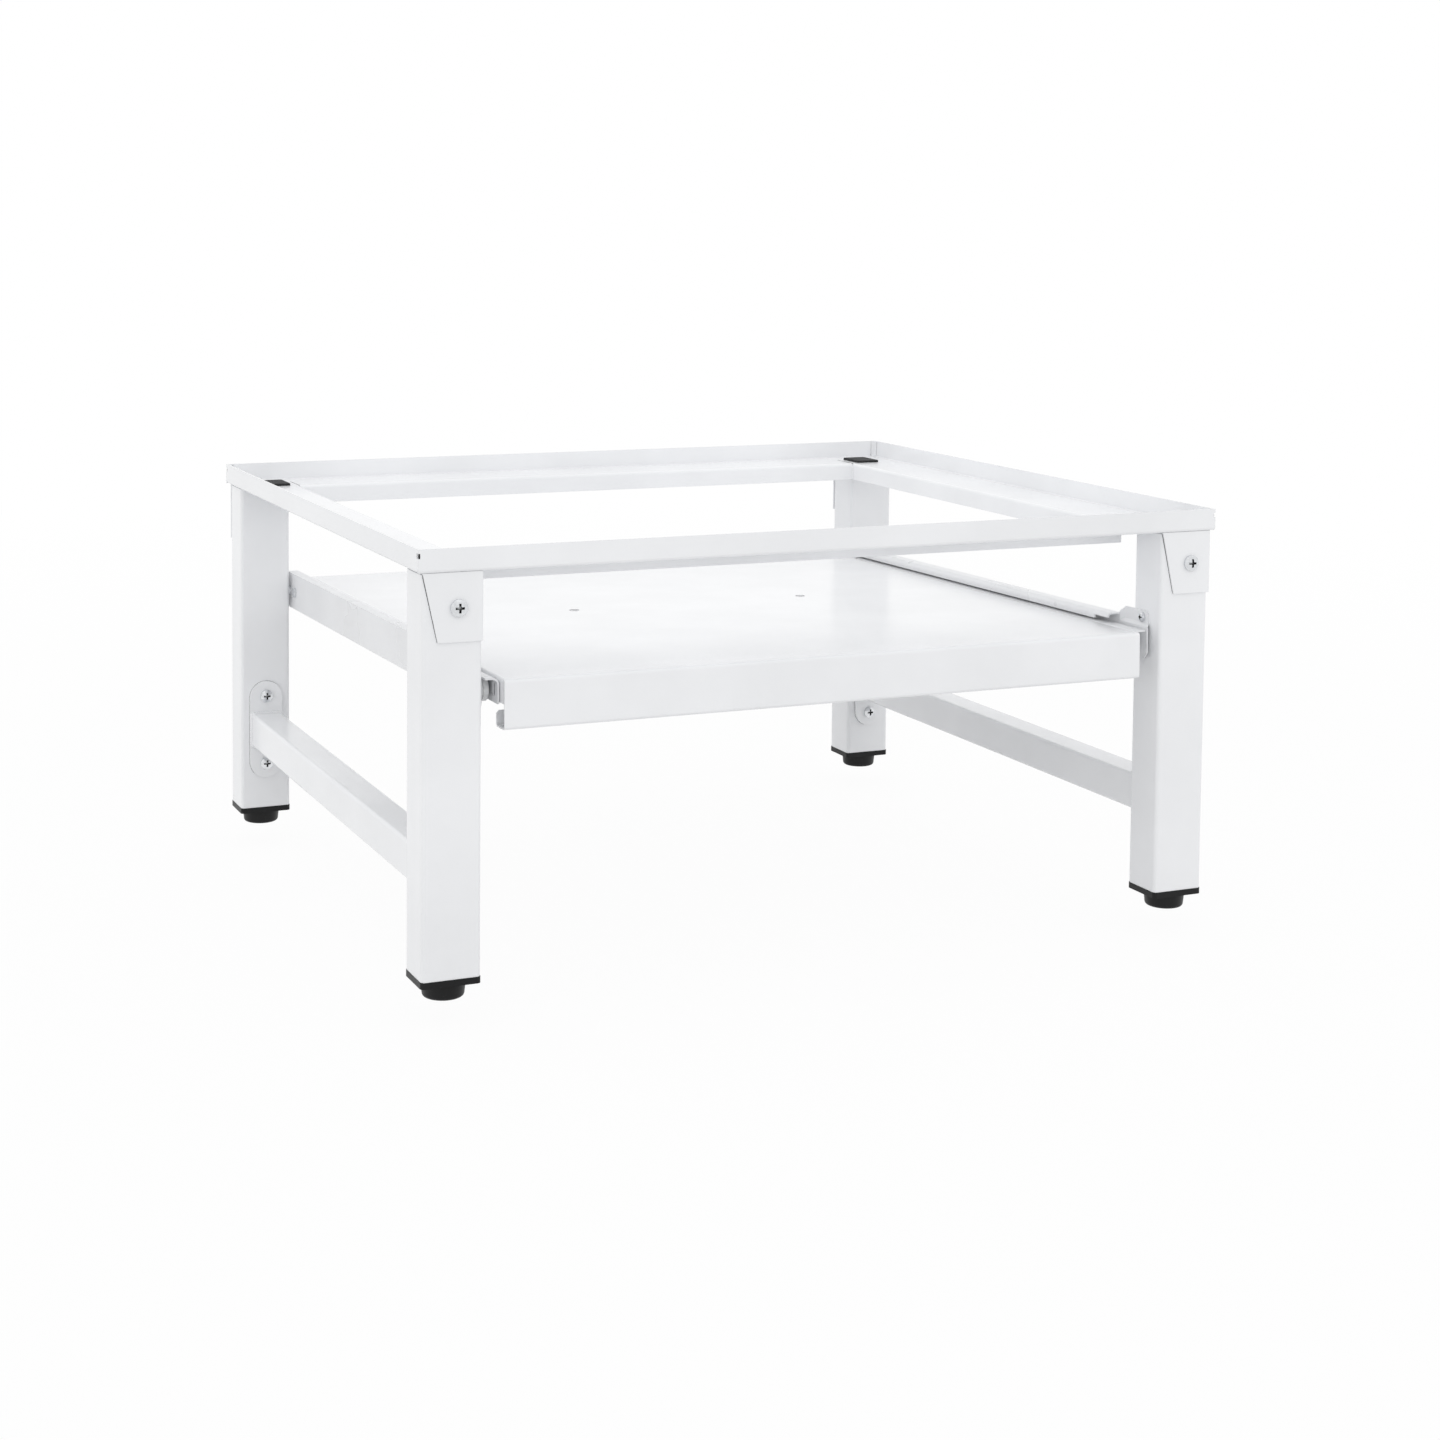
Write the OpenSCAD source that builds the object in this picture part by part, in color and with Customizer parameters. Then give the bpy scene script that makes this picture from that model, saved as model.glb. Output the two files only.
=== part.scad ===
// Laundry pedestal: a steel frame for one washing machine or dryer, with a shelf that pulls out on rollers.
// Millimetres. Z is up from the floor, X runs across the front, and the front looks along -Y.

/* [Top frame] */
// Overall width of the top frame
frame_w = 630; // [600:1:680]
// Overall depth of the top frame
frame_d = 540; // [520:1:600]
// Height of the top of the lip above the floor, with the feet screwed right in
frame_h = 307; // [290:1:340]
// Thickness of the folded sheet of the top frame
sheet = 1.5; // [1.2:0.1:2]
// Outer radius of the folds in the top frame
fold_r = 2.5; // [2.2:0.1:3.5]
// Height of the outer face, from the top of the lip to the underside of the seat
lip_h = 16.3; // [12:0.1:20]
// Width of the seat, from the outer face to the inner edge
seat_w = 51; // [50:0.5:60]
// Height of the turn-down at the inner edge, measured down from the underside of the seat
turn_h = 13.4; // [8:0.1:20]
// Height of the small gap left in each lip joint at a corner
corner_gap_h = 3.4; // [2:0.1:5]
// Width of that gap
corner_gap_w = 1.3; // [0.8:0.1:2]
// Distance of that gap below the top of the lip
corner_gap_down = 2.8; // [2:0.1:6]

/* [Anti-slip pads] */
// Length of a pad, front to back
pad_l = 30; // [25:1:33]
// Width of a pad
pad_w = 22; // [15:1:26]
// Thickness of a pad
pad_t = 2; // [1:0.1:4]
// Distance of a pad's middle from the outer faces of the frame
pad_in = 33; // [26:1:33]

/* [Legs] */
// Width of a leg tube, across the front
leg_w = 42; // [40:0.5:44]
// Depth of a leg tube
leg_d = 35; // [30:0.5:40]
// Wall thickness of the leg tube
leg_wall = 1.5; // [1.2:0.1:2]
// Outer corner radius of the leg tube
leg_r = 3; // [3:0.5:5]
// Distance of a leg's side from the side of the frame
leg_in_x = 3.5; // [3:0.1:5]

/* [Leg tabs] */
// Thickness of the tab that holds a leg
tab_t = 1.5; // [1:0.1:2]
// Height of the tab below the seat
tab_h = 47; // [38:1:60]
// Slant of the tab's left edge, as seen from outside
tab_slant = 10.5; // [4:0.5:14]
// Slant of the tab's other edge
tab_slant_2 = 0; // [0:0.5:3]
// How far the ear on top of the leg lies in from the leg's sides
tab_ear_in = 1.5; // [0.5:0.1:3]
// Distance of the tab's screw from the left edge of the leg, as seen from outside
tab_screw_x = 25; // [22:0.5:30]
// Distance of the tab's screw below the seat
tab_screw_down = 24; // [18:0.5:30]

/* [Screws] */
// Thread diameter of the frame screws
screw_d = 6; // [5:0.5:6]
// Head diameter of the tab screws
tab_head_d = 12; // [10:0.5:12]
// Head height of the tab screws
tab_head_h = 3.6; // [3:0.1:4]
// Head diameter of the stretcher screws
plate_head_d = 10.5; // [9:0.5:11]
// Length of a frame screw under its head
screw_l = 14; // [12:1:16]
// Width of the cross recess in the head
cross_l = 6.4; // [5:0.1:7]
// Outer diameter of the nut fixed inside a tube wall
nut_d = 9; // [8:0.1:10]
// Length of that nut
nut_l = 11; // [8:1:14]
// Clearance round a screw in its hole and its nut
screw_gap = 0.2; // [0.1:0.05:0.4]

/* [Leg caps and feet] */
// Height of the cap's rim below the leg tube
cap_t = 4.5; // [3:0.1:6]
// How far the cap's rim stands out beyond the tube
cap_lip = 0.3; // [0:0.1:1]
// Depth of the cap's plug inside the tube
cap_plug = 16; // [12:1:20]
// Wall of the cap's plug
cap_wall = 2; // [1.5:0.1:3]
// Height of the foot pad
foot_h = 10.7; // [8:0.1:12]
// Diameter of the foot pad at its top
foot_d = 30.5; // [30:0.5:32]
// Diameter of the foot pad at the floor, before its edge is rounded
foot_d_low = 28.5; // [24:0.5:30]
// Radius of the foot pad's lower edge
foot_edge = 2.5; // [1:0.1:4]
// Gap between foot pad and cap when screwed right in
foot_gap = 0.3; // [0.3:0.1:0.6]
// Thread diameter of the foot's stud
stud_d = 8; // [6:0.5:8]
// Length of the stud above the foot pad
stud_l = 42; // [34:1:50]
// Width across the flats of the nut held in the cap
stud_nut_af = 13; // [11:0.5:14]
// Height of that nut
stud_nut_h = 6.5; // [5:0.1:8]
// Running clearance on radius round anything that turns
turn_gap = 0.3; // [0.3:0.05:0.5]

/* [Stretchers] */
// Width of the stretcher tube
bar_w = 25; // [20:1:27]
// Height of the stretcher tube
bar_h = 28; // [20:1:34]
// Wall of the stretcher tube
bar_wall = 1.2; // [1:0.1:2]
// Height of the middle of the stretcher above the floor
bar_z = 83; // [70:1:95]
// Width of the plate on each end of the stretcher
plate_w = 28; // [26:1:32]
// Height of that plate
plate_h = 83; // [80:1:92]
// Thickness of that plate
plate_t = 2.5; // [2:0.1:4]
// Distance of each plate screw above or below the middle of the stretcher
plate_screw_z = 29; // [26:0.5:31]

/* [Shelf] */
// Height of the front edge of the shelf's top above the floor
shelf_z = 215.5; // [205:0.5:222]
// Distance of the shelf's front face behind the front of the frame
shelf_in = 5; // [4:0.5:8]
// Distance of the shelf's back edge from the back of the frame
shelf_back_in = 8; // [6:0.5:20]
// Fall of the shelf and its runners toward the back, in degrees
shelf_tilt = 0.9; // [0:0.1:1.2]
// Thickness of the shelf's sheet
shelf_t = 1; // [0.8:0.1:1.2]
// Height of the shelf's front apron
apron_h = 34.5; // [30:0.5:40]
// Depth of the fold along the bottom of the apron
hem_d = 17; // [12:1:20]
// Height of the lip that turns up behind the apron
hem_h = 11; // [7:0.5:12]
// Height of the shelf's side and back flanges
flange_h = 17; // [14:0.5:18]
// Outer radius of the shelf's folds
shelf_fold_r = 2.5; // [2:0.1:3]
// Diameter of the two drain holes in the shelf's top
hole_d = 7.5; // [5:0.5:10]
// Distance of each drain hole from the middle of the shelf
hole_x = 100; // [80:1:120]
// Length of travel of the shelf
travel = 386; // [300:1:392]
// Space between the shelf's sides and its runner members
arm_space = 0.6; // [0.5:0.1:1.2]

/* [Runners] */
// Thickness of the runners' sheet
run_t = 1.2; // [1:0.1:1.3]
// Gap between a runner and the leg it is screwed to
runner_gap = 2.4; // [2:0.1:3.5]
// Distance of the fixed member's front end behind the shelf's front face
run_front = 10; // [9:0.5:14]
// Distance of the fixed member's back end from the back of the frame
run_back_in = 22; // [18:0.5:30]
// Distance from the shelf member's inner face to the outer face of the fixed member
run_space = 13.6; // [13.4:0.1:14]
// Bottom of the fixed member below the shelf's top
run_low = 22; // [21.5:0.1:24]
// Top of the fixed member above the shelf's top
run_high = 7.8; // [7:0.1:9]
// Width of the fixed member's bottom flange
floor_w = 9.4; // [8:0.1:9.6]
// Width of the fixed member's top flange
roof_w = 10.4; // [8:0.1:10.6]
// Height of the lip that hangs from the fixed member's top flange
run_lip = 5; // [4:0.1:5.4]
// Outer radius of the bend between that flange and its lip
run_lip_r = 3.5; // [2:0.1:3.8]
// How far the lip starts behind the front end of that flange
lip_in = 18; // [10:1:24]
// Width of the shelf member's top flange
arm_w = 10; // [9:0.1:10]
// Height of the shelf member's side
arm_h = 18; // [16:0.5:18]
// Outer radius of the fold between that side and its flange
arm_r = 5; // [3:0.5:5]
// Width of the upright slot at the front of that side
slot_w = 5; // [3:0.5:6]
// Height of that slot
slot_h = 10; // [8:0.5:11]
// Height of the ear at the front of the fixed member, above the shelf's top
ear_h = 13.5; // [12.5:0.5:15]
// How far the ear's front edge lies behind the fixed member's front end
ear_in = 2.8; // [1:0.1:7]
// Distance of the back of the ear's level top from the fixed member's front end
ear_l = 32; // [30:1:36]
// Length of the slope behind the ear
ear_slope = 5.5; // [4:0.5:9]
// Radius of the front rollers
front_roller_r = 8.5; // [8:0.1:8.8]
// Radius of the back rollers
back_roller_r = 13; // [12.6:0.1:13.2]
// Width of the rollers
roller_w = 7; // [5:0.5:7]
// Width of the groove round each roller
groove_w = 0.6; // [0.4:0.1:1]
// Diameter of the rollers' pins
pin_d = 6; // [5:0.5:6]
// Diameter of the heads on the pins
pin_head_d = 9; // [8:0.5:10]
// Thread diameter of the runners' screws
run_screw_d = 4; // [3.5:0.5:4]
// Head diameter of the runners' screws
run_head_d = 7.5; // [7:0.1:8]
// Head height of the runners' screws
run_head_h = 2.6; // [2:0.1:2.8]
// Length of those screws under the head
run_screw_l = 10; // [9:1:12]
// Diameter of the spacer behind each back screw
spacer_d = 9; // [7:0.5:10]
// Height of the ear's screw above the shelf's top
ear_screw_z = 8.3; // [8:0.1:8.7]
// Diameter of the back stop pin
stop_d = 5; // [4:0.5:6]
// Diameter of the stop pin's head
stop_head_d = 8.5; // [7:0.5:9]

/* [Hidden] */
$fn = 64;
eps = 0.01;

half_w = frame_w / 2;
half_d = frame_d / 2;
seat_top = frame_h - lip_h + sheet;
seat_low = frame_h - lip_h;
// a leg's side faces and middle, on the right
leg_out_x = half_w - leg_in_x;
leg_inner_x = leg_out_x - leg_w;
leg_mid_x = leg_out_x - leg_w / 2;
// a leg's outer face, on the front, lies behind the lip and the tab
leg_in_y = sheet + tab_t;
leg_out_y = half_d - leg_in_y;
leg_inner_y = leg_out_y - leg_d;
leg_mid_y = leg_out_y - leg_d / 2;
leg_low = foot_h + foot_gap + cap_t;
leg_top = seat_low - tab_t;
cap_low = foot_h + foot_gap;
nut_flange = 1;

// places along the tilted shelf: y runs back from the shelf's front face, z up from its top
shelf_y = -half_d + shelf_in;
shelf_d = frame_d - shelf_in - shelf_back_in;
run_out_x = leg_inner_x - runner_gap;
run_in_x = run_out_x - run_t;
side_x = run_out_x - run_space;
shelf_side = side_x - arm_space;
shelf_w = 2 * shelf_side;
run_floor = -run_low + run_t;
run_roof = run_high - run_t;
run_back = frame_d - shelf_in - run_back_in;
roller_out = run_in_x - 1.6;
roller_in = roller_out - roller_w;
front_roller_y = run_front + 2 * front_roller_r;
floor_front = front_roller_y + front_roller_r + 1;
front_roller_z = -run_t - turn_gap - front_roller_r;
back_roller_y = run_back - 3.15 * back_roller_r;
back_roller_z = run_floor + turn_gap + back_roller_r;
stop_y = back_roller_y + back_roller_r + 0.5 + stop_d / 2;
// the front stop meets the back roller when the shelf is right out
stop_tab_z = 1.5;
stop_reach = sqrt(pow(back_roller_r, 2) - pow(stop_tab_z - back_roller_z, 2)) + turn_gap;
stop_front = back_roller_y - travel - stop_reach - run_t;
roof_front = run_front + ear_l + 5;
ear_front = run_front + ear_in;
ear_screw_y = ear_front + 0.88 * run_head_d;
// where the ear's front part starts to stand out to the leg
swell_y = roof_front - 1;
swell_z = ear_screw_z - run_head_d / 2 - runner_gap - 0.65;
back_screw_y = run_back - 8;
back_screw_z = back_roller_z;
arm_front = run_front - 1;
arm_back = run_back - 4;
arm_cut = back_roller_y - back_roller_r - 2;
rivet_ys = [for (s = [0.114, 0.558, 0.94]) arm_front + s * (arm_cut - arm_front)];
slot_y = arm_front + 8;
slot_z = -8.8;
rivet_z = -9;
rivet_d = 4;
rivet_gap = 0.1;

// a rectangle with rounded corners, centred
module round_rect(w, d, r) {
    square([w - 2 * r, d], center = true);
    square([w, d - 2 * r], center = true);
    for (x = [-1, 1], y = [-1, 1])
        translate([x * (w / 2 - r), y * (d / 2 - r)]) circle(r = r);
}

// a quarter ring for a fold: its middle at the origin, in the quadrant that sx and sy name
module quarter_ring(r, t, sx, sy) {
    intersection() {
        difference() {
            circle(r = r);
            circle(r = r - t);
        }
        translate([sx > 0 ? 0 : -r, sy > 0 ? 0 : -r]) square([r, r]);
    }
}

// the outer part of a rail's section: x runs inward from the outer face, y up from the top of the lip
module lip_section() {
    translate([0, -lip_h + fold_r]) square([sheet, lip_h - fold_r]);
    translate([fold_r, -lip_h + fold_r]) quarter_ring(fold_r, sheet, -1, -1);
}

module rail_section() {
    lip_section();
    translate([fold_r, -lip_h]) square([seat_w - 2 * fold_r, sheet]);
    translate([seat_w - fold_r, -lip_h + sheet - fold_r]) quarter_ring(fold_r, sheet, 1, 1);
    translate([seat_w - sheet, -lip_h - turn_h]) square([sheet, turn_h + sheet - fold_r]);
}

// a rail along Y on the left side, of length l
module rail(l) {
    translate([-half_w, 0, frame_h]) rotate([90, 0, 0])
        linear_extrude(height = l, center = true) rail_section();
}

// the gap that the lips leave at the front left corner: one half in the front lip, one in the side lip
module front_gap() {
    translate([-half_w - 1, -half_d - 1, frame_h - corner_gap_down - corner_gap_h])
        cube([1 + corner_gap_w, 1 + sheet, corner_gap_h]);
}

module side_gap() {
    translate([-half_w - 1, -half_d + sheet - 1, frame_h - corner_gap_down - corner_gap_h])
        cube([2 + sheet, 1 + 2 * corner_gap_w, corner_gap_h]);
}

module end_rail() {
    difference() {
        translate([0, half_w - half_d, 0]) rotate(90) rail(frame_w);
        for (s = [-1, 1]) {
            translate([s * (half_w - seat_w / 2 + eps), -half_d + fold_r + seat_w / 2, frame_h - 2 * lip_h])
                cube([seat_w + 2 * eps, seat_w, 4 * lip_h], center = true);
            translate([s * half_w, -half_d + sheet + fold_r / 2, frame_h - lip_h])
                cube([2 * sheet, fold_r, 3 * lip_h], center = true);
        }
        front_gap();
        mirror([1, 0, 0]) front_gap();
    }
}

// a side rail's flat corner at the front, with no turn-down
module flat_corner() {
    translate([-half_w, -half_d + seat_w, frame_h]) rotate([90, 0, 0])
        linear_extrude(height = seat_w - fold_r) {
            lip_section();
            translate([fold_r, -lip_h]) square([seat_w - fold_r, sheet]);
        }
}

module side_rail() {
    difference() {
        union() {
            rail(frame_d - 2 * seat_w);
            flat_corner();
            mirror([0, 1, 0]) flat_corner();
            translate([-half_w, -half_d + sheet, frame_h - lip_h + fold_r])
                cube([sheet, frame_d - 2 * sheet, lip_h - fold_r]);
        }
        side_gap();
        mirror([0, 1, 0]) side_gap();
    }
}

module pad() {
    translate([-half_w + pad_in, -half_d + pad_in, seat_top])
        linear_extrude(height = pad_t) round_rect(pad_w, pad_l, 1);
}

// moves something made for the front left leg to another leg, mirrored
module at_leg(right, back) {
    mirror([right, 0, 0]) mirror([0, back, 0]) children();
}

// moves something made for the front left leg to another leg, turned half round for the back
module at_leg_turned(right, back) {
    if (back)
        rotate(180) at_leg_turned(!right, false) children();
    else
        translate([right ? 2 * leg_mid_x : 0, 0, 0]) children();
}

// places of the screws in the legs: the head's underside at z = 0 and the shank up
module at_tab_screw() {
    translate([-leg_out_x + tab_screw_x, -leg_out_y - tab_t, seat_low - tab_screw_down])
        rotate([-90, 0, 0]) children();
}

module at_plate_screws() {
    for (s = [-1, 1])
        translate([-leg_mid_x, -leg_inner_y + plate_t, bar_z + s * plate_screw_z])
            rotate([90, 0, 0]) children();
}

// places along the runners, on the left
module on_shelf() {
    translate([0, shelf_y, shelf_z]) rotate([-shelf_tilt, 0, 0]) children();
}

module at_ear_screw() {
    on_shelf() translate([-run_in_x - runner_gap, ear_screw_y, ear_screw_z]) rotate([0, -90, 0]) children();
}

module at_back_screw() {
    on_shelf() translate([-run_in_x, back_screw_y, back_screw_z]) rotate([0, -90, 0]) children();
}

module at_runner_screws() {
    at_ear_screw() children();
    at_back_screw() children();
}

// a screw with a domed head and a cross recess
module pan_screw(d, l, head_d, head_h, cross) {
    dome = head_h * 0.55;
    dome_r = (head_d * head_d / 4 + dome * dome) / (2 * dome);
    difference() {
        union() {
            intersection() {
                translate([0, 0, -head_h]) cylinder(d = head_d, h = head_h);
                translate([0, 0, dome_r - head_h]) sphere(r = dome_r);
            }
            cylinder(d = d, h = l);
        }
        translate([0, 0, -head_h]) {
            for (a = [0, 90])
                rotate(a) cube([cross, cross * 0.26, head_h * 1.5], center = true);
            cylinder(d = cross * 0.44, h = head_h * 1.6, center = true);
        }
    }
}

// a nut fixed inside a tube wall: its rim against the wall's inner face, at z = 0
module wall_nut(d) {
    difference() {
        union() {
            cylinder(d = nut_d * d / screw_d + 2, h = nut_flange);
            cylinder(d = nut_d * d / screw_d, h = nut_l);
        }
        translate([0, 0, -1]) cylinder(d = d + screw_gap, h = nut_l + 2);
    }
}

// a leg: its tube and stretcher holes mirror, while the tab's screw and the runner's have their own places
module leg(right, back) {
    difference() {
        at_leg(right ? 1 : 0, back ? 1 : 0) difference() {
            translate([-leg_mid_x, -leg_mid_y, leg_low]) linear_extrude(height = leg_top - leg_low)
                difference() {
                    round_rect(leg_w, leg_d, leg_r);
                    round_rect(leg_w - 2 * leg_wall, leg_d - 2 * leg_wall, leg_r - leg_wall);
                }
            at_plate_screws() cylinder(d = screw_d + 2 * screw_gap, h = plate_t + 3 * leg_wall);
        }
        at_leg_turned(right, back)
            at_tab_screw() cylinder(d = screw_d + 2 * screw_gap, h = tab_t + 3 * leg_wall);
        mirror([right ? 1 : 0, 0, 0])
            at_runner_screws() cylinder(d = run_screw_d + 2 * screw_gap, h = 8);
    }
}

// the bracket on a leg: an ear between the leg's top and the seat, and the slanted tab on its outer face
module tab() {
    difference() {
        union() {
            translate([-leg_out_x + tab_ear_in, -leg_out_y - tab_t, leg_top])
                cube([leg_w - 2 * tab_ear_in, seat_w - 2 * sheet, tab_t]);
            translate([-leg_out_x, -leg_out_y, 0]) rotate([90, 0, 0]) linear_extrude(height = tab_t)
                polygon([
                    [0, seat_low], [leg_w, seat_low], [leg_w - tab_slant_2, seat_low - tab_h],
                    [tab_slant, seat_low - tab_h],
                ]);
        }
        at_tab_screw() translate([0, 0, -1]) cylinder(d = screw_d + 2 * screw_gap, h = tab_t + 2);
    }
}

module cap() {
    plug_w = leg_w - 2 * leg_wall - 0.2;
    plug_d = leg_d - 2 * leg_wall - 0.2;
    plug_r = leg_r - leg_wall;
    nut_room = stud_nut_af / cos(30) + 0.2;
    translate([-leg_mid_x, -leg_mid_y, 0]) difference() {
        union() {
            translate([0, 0, cap_low]) linear_extrude(height = cap_t)
                round_rect(leg_w + 2 * cap_lip, leg_d + 2 * cap_lip, leg_r);
            translate([0, 0, leg_low]) linear_extrude(height = cap_plug) difference() {
                round_rect(plug_w, plug_d, plug_r);
                round_rect(plug_w - 2 * cap_wall, plug_d - 2 * cap_wall, max(plug_r - 1, 0.3));
            }
            translate([0, 0, leg_low]) cylinder(d = nut_room + 2 * cap_wall, h = stud_nut_h + 1);
        }
        translate([0, 0, cap_low - 1]) cylinder(d = stud_d + 2 * turn_gap, h = cap_t + 2);
        translate([0, 0, leg_low]) cylinder(d = nut_room, h = stud_nut_h + 2);
    }
}

module cap_nut() {
    translate([-leg_mid_x, -leg_mid_y, leg_low]) difference() {
        cylinder(d = stud_nut_af / cos(30), h = stud_nut_h, $fn = 6);
        translate([0, 0, -1]) cylinder(d = stud_d + 2 * turn_gap, h = stud_nut_h + 2);
    }
}

// the foot pad: the stud's flanged end turns in the pocket inside it
module foot() {
    r_low = foot_d_low / 2;
    rim = 1.5;
    lean = atan((foot_d - foot_d_low) / 2 / (foot_h - rim));
    // distance from the corner to where its rounding starts
    cut = foot_edge / tan(45 + lean / 2);
    translate([-leg_mid_x, -leg_mid_y, 0]) difference() {
        rotate_extrude() {
            polygon([
                [0, 0], [r_low - cut, 0], [r_low + cut * sin(lean), cut * cos(lean)],
                [foot_d / 2, foot_h - rim], [foot_d / 2, foot_h], [0, foot_h],
            ]);
            translate([r_low - cut, foot_edge]) circle(r = foot_edge);
        }
        translate([0, 0, 3]) cylinder(d = stud_d + 4 + 2 * turn_gap, h = 3 + 2 * turn_gap);
        translate([0, 0, 3]) cylinder(d = stud_d + 2 * turn_gap, h = foot_h);
    }
}

module stud() {
    translate([-leg_mid_x, -leg_mid_y, 3 + turn_gap]) {
        cylinder(d = stud_d + 4, h = 3);
        cylinder(d = stud_d, h = foot_h + stud_l - 3 - turn_gap);
    }
}

module bar() {
    translate([-leg_mid_x, 0, bar_z]) rotate([90, 0, 0])
        linear_extrude(height = 2 * (leg_inner_y - plate_t), center = true) difference() {
            round_rect(bar_w, bar_h, 2.5);
            round_rect(bar_w - 2 * bar_wall, bar_h - 2 * bar_wall, 2.5 - bar_wall);
        }
}

module plate() {
    difference() {
        translate([-leg_mid_x, -leg_inner_y + plate_t, bar_z]) rotate([90, 0, 0])
            linear_extrude(height = plate_t) {
                square([plate_w, plate_h - plate_w], center = true);
                for (s = [-1, 1])
                    translate([0, s * (plate_h - plate_w) / 2]) circle(d = plate_w);
            }
        at_plate_screws() translate([0, 0, -1]) cylinder(d = screw_d + 2 * screw_gap, h = plate_t + 2);
    }
}

// a plate in the upright plane of a runner: [y, z] points, and its two faces in x
module upright(points, x0, x1) {
    translate([x0, 0, 0]) rotate([90, 0, 90]) linear_extrude(height = x1 - x0) polygon(points);
}

// the part of the ear that stands out to the leg, from the face at x0 outward; e moves its slopes in
module swell(x0, e, root) {
    x1 = x0 + runner_gap;
    intersection() {
        translate([0, swell_y + 1, 0]) rotate([90, 0, 0]) linear_extrude(height = swell_y - run_front + 2)
            polygon([
                [root - x0, swell_z + e], [-x0, swell_z + e], [-x1, swell_z + e + runner_gap],
                [-x1, ear_h + 1], [root - x0, ear_h + 1],
            ]);
        linear_extrude(height = ear_h + 2) polygon([
            [root - x0, swell_y - e], [-x0, swell_y - e], [-x1, swell_y - e - runner_gap],
            [-x1, run_front - 1], [root - x0, run_front - 1],
        ]);
    }
}

// the upright of the fixed member, with its ear
module runner_web() {
    ear_back = run_front + ear_l;
    slope_back = ear_back + ear_slope;
    intersection() {
        upright([
            [run_front, 4 - run_low], [run_front + 4, -run_low], [run_back, -run_low], [run_back, run_high],
            [slope_back, run_high], [ear_back, ear_h],
            [ear_front + 2, ear_h], [ear_front, ear_h - 2], [ear_front, swell_z + runner_gap + 1],
            [run_front, swell_z - 1],
        ], -leg_inner_x - 1, -run_in_x);
        difference() {
            union() {
                translate([-run_out_x, run_front - 1, -run_low - 1])
                    cube([run_t, run_back - run_front + 2, run_low + ear_h + 2]);
                swell(run_out_x, 0, run_t / 2);
            }
            swell(run_in_x, run_t * tan(22.5), 1);
        }
    }
}

// the fixed member of the left runner
module runner() {
    difference() {
        on_shelf() {
            runner_web();
            translate([-run_in_x, floor_front, -run_low]) cube([floor_w, run_back - floor_front, run_t]);
            translate([-run_in_x, run_back, run_high]) rotate([90, 0, 0])
                linear_extrude(height = run_back - roof_front) {
                    translate([0, -run_t]) square([roof_w - run_lip_r, run_t]);
                    translate([roof_w - run_lip_r, -run_lip_r]) quarter_ring(run_lip_r, run_t, 1, 1);
                }
            translate([-run_in_x + roof_w - run_t, roof_front + lip_in, run_roof - run_lip])
                cube([run_t, run_back - roof_front - lip_in, run_lip + run_t - run_lip_r]);
            translate([-run_in_x, stop_front, stop_tab_z])
                cube([floor_w - 1, run_t, run_roof - stop_tab_z + eps]);
        }
        at_runner_screws() translate([0, 0, -1]) cylinder(d = run_screw_d + 2 * screw_gap, h = run_t + 2);
        on_shelf() {
            translate([-run_out_x - 1, stop_y, back_roller_z]) rotate([0, 90, 0])
                cylinder(d = stop_d + rivet_gap, h = run_t + 2);
            translate([-run_out_x - 1, front_roller_y, front_roller_z]) rotate([0, 90, 0])
                cylinder(d = pin_d + rivet_gap, h = run_t + 2);
        }
    }
}

// a roller on the left, running on a pin along x, with a groove round it
module roller(y, z, r) {
    bore = pin_d / 2 + turn_gap;
    groove = roller_w * 0.34;
    on_shelf() translate([-roller_out, y, z]) rotate([0, 90, 0]) rotate_extrude() polygon([
        [bore, 0], [r - 0.5, 0], [r, 0.5], [r, groove], [r - 0.6, groove], [r - 0.6, groove + groove_w],
        [r, groove + groove_w], [r, roller_w - 0.5], [r - 0.5, roller_w], [bore, roller_w],
    ]);
}

// the front roller's pin, riveted in the fixed member
module front_pin() {
    on_shelf() translate([-run_out_x, front_roller_y, front_roller_z]) rotate([0, 90, 0]) {
        translate([0, 0, -1]) cylinder(d = pin_head_d, h = 1);
        cylinder(d = pin_d, h = run_out_x - roller_in + turn_gap + 0.8);
        translate([0, 0, run_t]) cylinder(d = pin_head_d, h = run_in_x - roller_out - turn_gap);
        translate([0, 0, run_out_x - roller_in + turn_gap]) cylinder(d = pin_head_d, h = 0.8);
    }
}

// the back roller's pin, riveted in the shelf's member
module back_pin() {
    on_shelf() translate([-roller_out - turn_gap - 0.8, back_roller_y, back_roller_z]) rotate([0, 90, 0]) {
        cylinder(d = pin_head_d, h = 0.8);
        cylinder(d = pin_d, h = roller_out + turn_gap + 0.8 - side_x + 1);
        translate([0, 0, roller_out + turn_gap + 0.8 - side_x]) cylinder(d = pin_head_d, h = 1);
        translate([0, 0, 0.8 + roller_w + 2 * turn_gap])
            cylinder(d = pin_head_d, h = roller_in - turn_gap - side_x - run_t);
    }
}

module stop_pin() {
    on_shelf() translate([-run_out_x, stop_y, back_roller_z]) rotate([0, 90, 0]) {
        translate([0, 0, -1.8]) cylinder(d = stop_head_d, h = 1.8);
        cylinder(d = stop_d, h = run_t + 7);
        translate([0, 0, run_t]) cylinder(d = stop_d + 2, h = 1);
    }
}

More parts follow.
